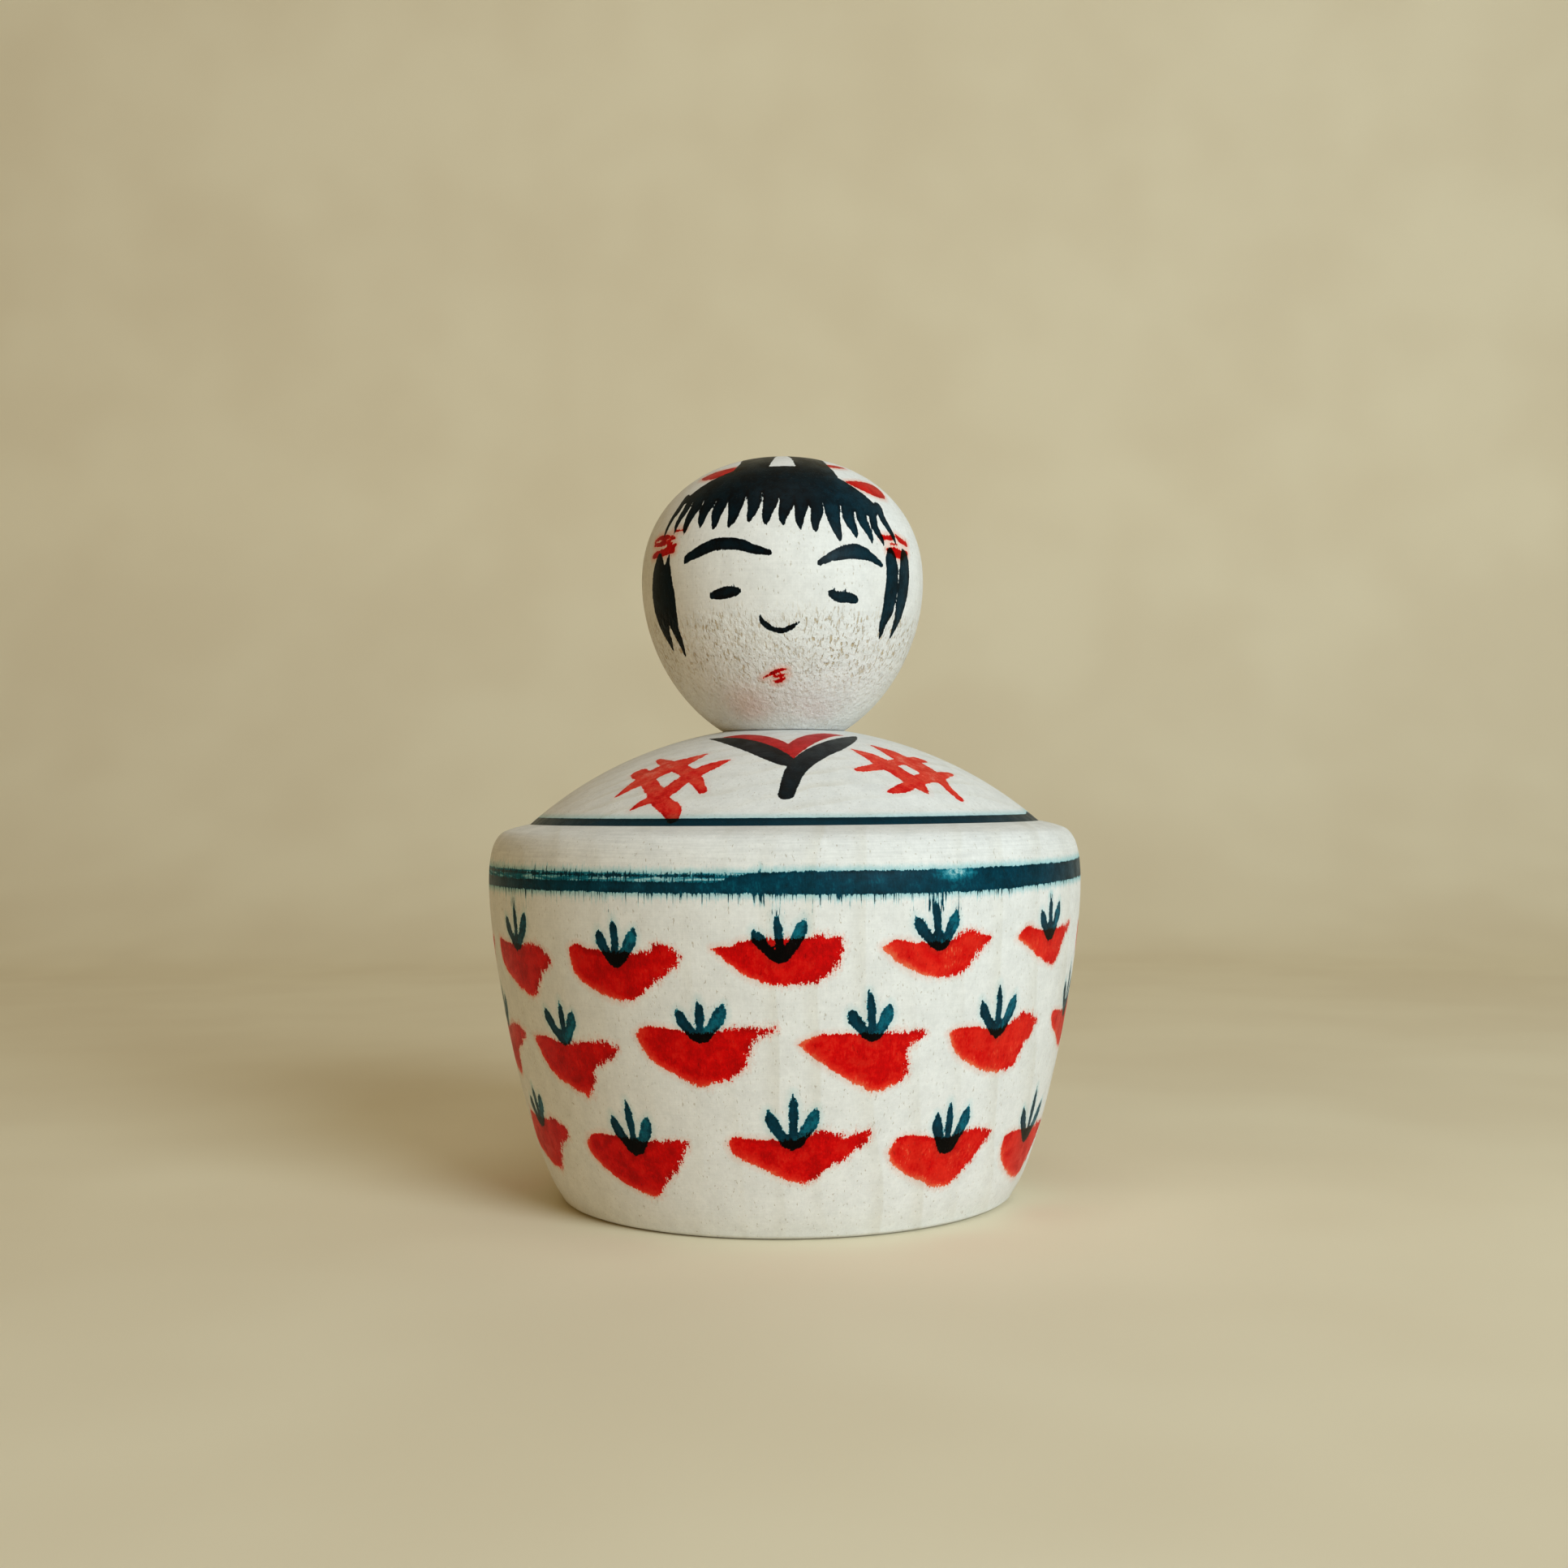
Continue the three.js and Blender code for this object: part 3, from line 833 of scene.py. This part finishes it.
bump = lid_finish.sum("MULTIPLY_ADD", lid_finish.tool_marks(0.16), 0.4, lid_finish.pores)
lid.data.materials.append(lid_finish.done(colour, wet, bump, GRAIN_DEPTH))
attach(lid, "lid")
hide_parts("shoulder_lid")

# ---------------------------------------------------------------- head
# The head and its neck are one turning: a ball a little flatter above than below, cut off flat where it
# meets the collar, and a neck that swells beyond the socket's lip so that the head turns and stays on.
TOTAL_HEIGHT = 80
HEAD_RADIUS = 15.35
HEAD_UPPER = 13.65  # from the widest place to the crown
HEAD_LOWER = 18.2  # full depth of the lower curve, which the flat under the head cuts short
UPPER_FULLNESS = 2.15  # exponents: 2 is an ellipse, and more is squarer
LOWER_FULLNESS = 1.9
NECK_END_RADIUS = 4.5
NECK_END_BEVEL = 0.4
HEAD_AROUND = 450
HEAD_SPACING = 0.26
CURVE_STEPS = 400  # of each half, before its points are spaced evenly


def half_curve(height, fullness, start, end):
    """Half of the ball's outline, above or below its widest place."""
    t = np.linspace(start, end, CURVE_STEPS)
    radii = HEAD_RADIUS * np.clip(np.cos(t), 0, 1) ** (2 / fullness)
    heights = head_middle + height * np.clip(np.sin(t), 0, 1) ** (2 / fullness)
    return np.stack([radii, heights], axis=1)


head_middle = TOTAL_HEIGHT - HEAD_UPPER
flat_angle = math.asin(((head_middle - head_floor) / HEAD_LOWER) ** (LOWER_FULLNESS / 2))
lower_half = half_curve(-HEAD_LOWER, LOWER_FULLNESS, flat_angle, 0)
upper_half = half_curve(HEAD_UPPER, UPPER_FULLNESS, 0, math.pi / 2)
ball = evenly(np.concatenate([lower_half, upper_half[1:]]), HEAD_SPACING)
ball[-1][0] = 0
head_profile = [
    (0, neck_end),
    (NECK_END_RADIUS - NECK_END_BEVEL, neck_end),
    (NECK_END_RADIUS, neck_end + NECK_END_BEVEL),
    (NECK_RADIUS + SWELL, swell_full - SWELL_WIDTH),
    (NECK_RADIUS + SWELL, swell_full),
    (NECK_RADIUS, swell_start),
    (NECK_RADIUS, head_floor),
    *ball,
]
head = turned("dyed_doll_head", head_profile, HEAD_AROUND)

# -------- The head's brushwork
# Black hair is combed forward from a knot on the crown into a fringe of sixteen points, with a lock before
# each ear and red ties above it. Red ribbons fan out from the knot. The face is a few single strokes.
FRINGE = [  # degrees round at root and tip, height of root and tip, and half width
    (-53.5, -58.5, 73.4, 70.2, 0.5),
    (-48, -50.5, 73.3, 70.5, 0.6),
    (-42, -43.7, 73.4, 70.3, 0.85),
    (-34.6, -36, 73.5, 70.8, 0.9),
    (-27.6, -29.4, 73.1, 70.5, 0.85),
    (-20, -21.9, 73.8, 70.6, 1.05),
    (-12.4, -13, 73.7, 71.1, 0.85),
    (-5.2, -6.2, 74, 70.6, 0.95),
    (1.8, 0.3, 73.3, 70.7, 0.85),
    (8.2, 7.2, 73.2, 70.2, 0.85),
    (14.6, 13.2, 72.5, 69.9, 0.8),
    (21.8, 22.9, 72.9, 69, 1.05),
    (29.1, 30.4, 72, 69.5, 0.85),
    (35.8, 38.2, 71.8, 69, 0.8),
    (41.5, 44.2, 71.3, 69, 0.65),
    (48.3, 52.5, 72.2, 69.2, 0.62),
]
LOCK_STROKES = [  # as all strokes on the face: degrees round from the front, height, and half width
    [
        (-58, 68.3, 0.5), (-58, 67.4, 1), (-58, 66, 1.5), (-58.5, 64.2, 1.7), (-59, 62.3, 1.4),
        (-59, 60.7, 0.8), (-58, 59.6, 0.5), (-58, 58.6, 0.1),
    ],
    [
        (-51, 68.3, 0.2), (-51.5, 67.4, 0.4), (-52, 66.3, 0.8), (-52, 64.5, 1.12), (-52, 62.7, 1.12),
        (-51.5, 61, 0.72), (-50.5, 59.9, 0.52), (-50, 58.9, 0.34), (-50, 57.9, 0.1),
    ],
    [
        (48, 68.5, 0.5), (48, 67.6, 0.9), (48.5, 66.5, 1), (48.5, 65, 1), (48, 63.8, 1),
        (47.5, 62.4, 0.86), (46, 61.2, 0.56), (46, 60.3, 0.36), (46, 59.5, 0.1),
    ],
    [
        (57, 68.8, 0.3), (57.5, 68, 0.8), (57, 66.7, 1), (56.5, 65.2, 1.06), (56, 63.9, 1),
        (55.5, 62.5, 0.8), (55, 61.6, 0.6), (54, 60.7, 0.4), (53, 59.6, 0.08),
    ],
]
FACE_STROKES = [
    [
        (-41, 67.4, 0.18), (-40, 67.8, 0.42), (-35, 68.3, 0.58), (-30, 68.8, 0.64), (-26, 69, 0.66),
        (-21, 69, 0.64), (-16, 68.8, 0.6), (-12, 68.4, 0.5), (-8, 68.1, 0.4), (-5, 67.9, 0.3),
    ],
    [
        (14.5, 66.9, 0.3), (18, 67.4, 0.44), (22, 67.8, 0.62), (26, 68.1, 0.75), (30, 68.2, 0.8),
        (34, 68, 0.66), (37, 67.7, 0.48), (40, 67.3, 0.36), (42, 67, 0.25),
    ],
    [
        (-28.4, 63.75, 0.38), (-25.5, 63.85, 0.55), (-22, 64, 0.6), (-19, 64.05, 0.48),
        (-17.5, 64.05, 0.34),
    ],
    [(17.8, 63.95, 0.1), (19.8, 63.7, 0.42), (23, 63.45, 0.58), (27, 63.4, 0.54), (29.6, 63.25, 0.44)],
    [(-19.5, 64.4, 0.14), (-19, 64.95, 0.03)],
    [(20.5, 63.9, 0.2), (20, 64.4, 0.04)],
    [(25, 64, 0.14), (24.7, 64.45, 0.03)],
    [
        (-9.1, 61.5, 0.16), (-8.3, 61, 0.27), (-6.3, 60.5, 0.3), (-3.5, 60.15, 0.26), (0, 60.05, 0.3),
        (3, 60.3, 0.25), (5, 60.6, 0.18), (7, 60.95, 0.03),
    ],
]
MOUTH_STROKES = [
    [(-10.3, 55.3, 0.03), (-7, 55.65, 0.13), (-4, 55.9, 0.2), (-1.5, 56.1, 0.22), (2, 56.2, 0.04)],
    [(-5.8, 55.4, 0.05), (-3, 55.5, 0.17), (0.5, 55.65, 0.17), (2, 55.7, 0.05)],
    [(-5, 55, 0.05), (-3.2, 54.95, 0.2), (-1, 55.15, 0.2), (1, 55.4, 0.05)],
]
TIE_STROKES = [
    [(-65, 70.2, 0.15), (-61, 70.45, 0.27), (-54, 70.4, 0.24), (-49, 70.2, 0.15)],
    [(-64, 69.85, 0.22), (-58, 69.75, 0.25), (-53, 69.8, 0.2), (-50, 69.65, 0.1)],
    [(-64, 68.6, 0.25), (-60, 68.75, 0.4), (-54, 68.8, 0.4), (-48.5, 68.9, 0.3)],
    [(-53, 69.3, 0.1), (-47.5, 69.4, 0.15)],
    [(-52, 70.8, 0.08), (-47.5, 70.95, 0.16), (-43.5, 70.95, 0.08)],
    [(43.5, 70.05, 0.18), (47, 69.95, 0.3), (50.5, 70.1, 0.26)],
    [(53.5, 70.3, 0.2), (57, 69.9, 0.34), (61, 69.65, 0.26)],
    [(46.5, 68.6, 0.25), (51, 68.65, 0.36), (55, 68.55, 0.34), (60, 68.65, 0.26)],
    [(50, 68.1, 0.12), (56, 68, 0.2)],
    [(48, 69.3, 0.08), (53, 69.35, 0.13)],
]
# The cap of hair is an outline, down to the fringe on each side by degrees round and height. On the crown
# it and the ribbons are laid out as the scalp would unroll: mm to the doll's left, and mm behind the crown.
CAP_LEFT = [
    (-55.8, 73.3), (-52.5, 74.5), (-48.5, 75.5), (-43.5, 76.3), (-38, 76.9), (-32, 77.4), (-34, 78.4),
]
CAP_RIGHT = [
    (36.3, 78.3), (34, 77.3), (33, 76.4), (36.5, 75.9), (40.5, 75.1), (44, 74.4), (47.5, 73.4),
    (50, 72.2),
]
CAP_CROWN = [
    (-4.2, -4),
    (-3.4, 0),
    (-2, 3),
    (0, 4),
    (2, 3),
    (3.4, 0),
    (4.4, -4),
]
PARTING = [(-1.4, -9.5), (1.6, -9.4), (1.2, -7.2), (0.5, -3.6), (0.1, -3), (-0.4, -3.6), (-0.9, -7.2)]
RIBBON_STROKES = [
    [(-5.2, -8.4, 0.9), (-6.6, -7.9, 1), (-7.9, -7, 0.85), (-9, -5.9, 0.1)],
    [(7.6, -9.9, 0.25), (8.8, -9.2, 0.75), (10.2, -8.1, 1.15), (11, -7.1, 1.2), (11.2, -6.7, 1.1)],
    [(4.4, -7.6, 0.35), (5.7, -6.7, 0.45), (6.8, -5.4, 0.2)],
    [(-3.8, -3.4, 0.4), (-6, -2.2, 0.9), (-8.4, -0.4, 0.6), (-9.4, 0.6, 0.1)],
    [(3.9, -3.2, 0.4), (6.2, -2, 0.9), (8.6, -0.2, 0.7), (9.8, 1, 0.1)],
    [(-2.9, 1.4, 0.4), (-4.6, 3.4, 0.9), (-6, 5.8, 0.6), (-6.5, 7, 0.1)],
    [(2.9, 1.6, 0.4), (4.4, 3.6, 0.9), (5.6, 6, 0.6), (6.2, 7.4, 0.1)],
    [(0, 4.2, 0.4), (0.3, 6.4, 0.9), (0.1, 8.6, 0.5), (0, 9.6, 0.1)],
]

HAIR_OVERLAP = 0.6  # how far the cap reaches down over the fringe's roots
POINT_TAPER = ((-0.4, 1), (0, 1.02), (0.25, 0.9), (0.5, 0.72), (0.7, 0.55), (0.86, 0.29), (1, 0.02))
CROWN_STEP = 0.1

from_crown = evenly(ball[::-1], CROWN_STEP)
crown_run = np.concatenate([[0], np.cumsum(np.linalg.norm(np.diff(from_crown, axis=0), axis=1))])


def around_head(stroke):
    """A stroke given by angle and height, as places on the ball."""
    line = []
    for angle, height, half in flowing(stroke, 4):
        radius = np.interp(height, ball[:, 1], ball[:, 0])
        turn = math.radians(angle)
        line.append((radius * math.sin(turn), -radius * math.cos(turn), height, half))
    return line


def on_scalp(angle, height):
    """A place given by angle and height, on the unrolled scalp."""
    run = np.interp(-height, -from_crown[:, 1], crown_run)
    return run * math.sin(math.radians(angle)), -run * math.cos(math.radians(angle))


head_skin = skin_of(head)
head_angle = np.arctan2(head_skin[:, 0], -head_skin[:, 1])
head_run = np.interp(-head_skin[:, 2], -from_crown[:, 1], crown_run)
scalp = np.stack([head_run * np.sin(head_angle), -head_run * np.cos(head_angle)], axis=1)
above = head_skin[:, 2] > head_floor + 0.01
head_black = brushed_all(head_skin, [around_head(stroke) for stroke in LOCK_STROKES + FACE_STROKES])
roots = [on_scalp(point[0], point[2] + HAIR_OVERLAP) for point in reversed(FRINGE)]
left_edge = [on_scalp(*place) for place in CAP_LEFT]
right_edge = [on_scalp(*place) for place in CAP_RIGHT]
hair = filled(scalp, [*left_edge, *CAP_CROWN, *right_edge, *roots])
for root_angle, tip_angle, root_height, tip_height, half in FRINGE:
    points = []
    for t, width in POINT_TAPER:
        angle = root_angle + (tip_angle - root_angle) * max(t, 0) + 0.5 * math.sin(5 * t + root_angle)
        height = root_height + (tip_height - root_height) * t
        points.append((*on_scalp(angle, height), half * width))
    hair = np.maximum(hair, brushed(scalp, flowing(points, 3)))
hair = np.minimum(hair, -filled(scalp, PARTING))
head_black = np.maximum(head_black, hair)
head_red = brushed_all(head_skin, [around_head(stroke) for stroke in MOUTH_STROKES + TIE_STROKES])
ribbons = brushed_all(scalp, [flowing(stroke, 4) for stroke in RIBBON_STROKES])
head_red = np.maximum(head_red, ribbons)
keep(head, "black_dye", np.where(above, head_black, FAR_OUTSIDE))
keep(head, "red_dye", np.where(above, head_red, FAR_OUTSIDE))

# -------- The head's finish
# The same waxed dogwood. The tool tore the grain low on the cheeks, which left pits and a pebbled skin
# below them, and a little red has run on to the chin.
TORN_COLOUR = (0.68, 0.55, 0.37, 1)
STAIN_PLACE = (-4.4, -10.6, 51.6)
head_finish = Finish("dyed_head_wood")
colour = head_finish.wood(pith=(3, -5), ring_strength=0.2, grain_strength=0.02, line_strength=0.02)
red, red_cover = head_finish.soak(head_finish.stored("red_dye"), 0.3, 0.1, 0.05, 0.08, 0.2)
# Painted sheen: towards the window side (+X) the black hair is thinned to dark blue-green, standing in for
# cool window light glancing off it
side = head_finish.node("SeparateXYZ", {0: head_finish.place}, "X")
side = head_finish.sum("MULTIPLY_ADD", head_finish.speckle(head_finish.place, 2.5, 3), 5, side)
black_thinned_for_sheen = head_finish.between(side, 4, 9, 1, 0.78)
black, black_cover = head_finish.soak(head_finish.stored("black_dye"), 0.16, 0.13, 0.03, 0, 0.15, black_thinned_for_sheen)
pits = head_finish.speckle(head_finish.stretched(0.28, 1.9), 1, 2, 0.6)
torn = head_finish.between(head_finish.height(), 60.5, 63.5, 1, 0)
kept = head_finish.between(head_finish.height(), 53, 58, 0.25, 1)
patchy = head_finish.between(head_finish.speckle(head_finish.place, 3, 3), 0.4, 0.6, 0.5, 1)
rough_part = head_finish.sum("MULTIPLY", torn, kept)
pits = head_finish.between(pits, 0.545, 0.65)
pits = head_finish.sum("MULTIPLY", pits, head_finish.sum("MULTIPLY", rough_part, patchy))
colour = head_finish.blend("MULTIPLY", pits, colour, TORN_COLOUR)
stain = head_finish.node("VectorMath", {0: head_finish.place, 1: STAIN_PLACE}, "Value", operation="DISTANCE")
stain = head_finish.between(stain, 0.5, 4.5, 0.04, 0)
red = head_finish.sum("MAXIMUM", red, stain)
colour = head_finish.blend("MULTIPLY", 1, colour, head_finish.stops(red, RED_STOPS))
colour = head_finish.blend("MULTIPLY", 1, colour, head_finish.stops(black, BLACK_STOPS))
bump = head_finish.sum("MULTIPLY_ADD", head_finish.tool_marks(0.2), 0.45, head_finish.pores)
peel = head_finish.sum("MULTIPLY", head_finish.speckle(head_finish.place, 0.6, 3, 0.6), torn)
bump = head_finish.sum("MULTIPLY_ADD", peel, 7, bump)
bump = head_finish.sum("MULTIPLY_ADD", pits, -2.5, bump)
wet = head_finish.sum("MAXIMUM", red_cover, black_cover)
head.data.materials.append(head_finish.done(colour, wet, bump, GRAIN_DEPTH))
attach(head, "head")
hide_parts("doll_head")

# ---------------------------------------------------------------- floor and light
# A plain pale sweep: a floor that curves up into a backdrop, lit by a large window-like panel on the
# doll's left, a dim warm panel on its right, and a soft one overhead.
SWEEP_WIDTH = 2600
SWEEP_FRONT = -900
SWEEP_BACK = 420
SWEEP_CURVE = 140
SWEEP_TOP = 900
SWEEP_CURVE_STEPS = 24
PAPER_COLOURS = ((0.82, 0.72, 0.53, 1), (0.875, 0.785, 0.59, 1))
LIGHT_TARGET = (0, 0, 45)
PANELS = [  # name, place, width, power and colour
    ("window_panel", (385, -535, 290), 400, 4.15, (0.77, 0.92, 1)),
    ("fill_panel", (-520, -420, 160), 400, 0.28, (1, 0.58, 0.12)),
    ("top_panel", (30, -160, 700), 500, 0.7, (1, 0.95, 0.85)),
]
ROOM_LIGHT = (1, 0.78, 0.38, 1)
ROOM_STRENGTH = 0.172

bm = bmesh.new()
curve = arc(SWEEP_BACK - SWEEP_CURVE, SWEEP_CURVE, SWEEP_CURVE, -90, 0, SWEEP_CURVE_STEPS)
sweep_line = [(SWEEP_FRONT, 0), *curve, (SWEEP_BACK, SWEEP_TOP)]
chain = [bm.verts.new((-SWEEP_WIDTH / 2, y, z)) for y, z in sweep_line]
edges = [bm.edges.new(pair) for pair in zip(chain, chain[1:])]
sheet = bmesh.ops.extrude_edge_only(bm, edges=edges)["geom"]
moved = [item for item in sheet if isinstance(item, bmesh.types.BMVert)]
bmesh.ops.translate(bm, verts=moved, vec=(SWEEP_WIDTH, 0, 0))
bmesh.ops.scale(bm, vec=(MM, MM, MM), verts=bm.verts[:])
for face in bm.faces:
    face.smooth = True
sweep_mesh = bpy.data.meshes.new("sweep")
bm.to_mesh(sweep_mesh)
bm.free()
sweep = bpy.data.objects.new("sweep", sweep_mesh)
bpy.context.scene.collection.objects.link(sweep)
sweep_paper = Finish("sweep_paper")
paper_tone = sweep_paper.between(sweep_paper.speckle(sweep_paper.place, 60, 2), 0.3, 0.7)
paper_colour = sweep_paper.blend("MIX", paper_tone, *PAPER_COLOURS)
paper = sweep_paper.node("BsdfPrincipled", {"Base Color": paper_colour, "Roughness": 0.75})
sweep_paper.node("OutputMaterial", {"Surface": paper})
sweep_mesh.materials.append(sweep_paper.material)


def panel(name, place, size, power, colour):
    """A soft light panel that faces the doll's middle."""
    light = bpy.data.lights.new(name, "AREA")
    light.shape = "DISK"
    light.size = size * MM
    light.energy = power
    light.color = colour
    lamp = bpy.data.objects.new(name, light)
    stand = Vector(place) * MM
    aim = (Vector(LIGHT_TARGET) * MM - stand).to_track_quat("-Z", "Y")
    lamp.matrix_world = Matrix.Translation(stand) @ aim.to_matrix().to_4x4()
    bpy.context.scene.collection.objects.link(lamp)


for light_panel in PANELS:
    panel(*light_panel)
world = bpy.data.worlds.new("studio")
bpy.context.scene.world = world
world.use_nodes = True
room = world.node_tree.nodes["Background"]
room.inputs["Color"].default_value = ROOM_LIGHT
room.inputs["Strength"].default_value = ROOM_STRENGTH
bpy.context.scene.view_settings.view_transform = "Standard"
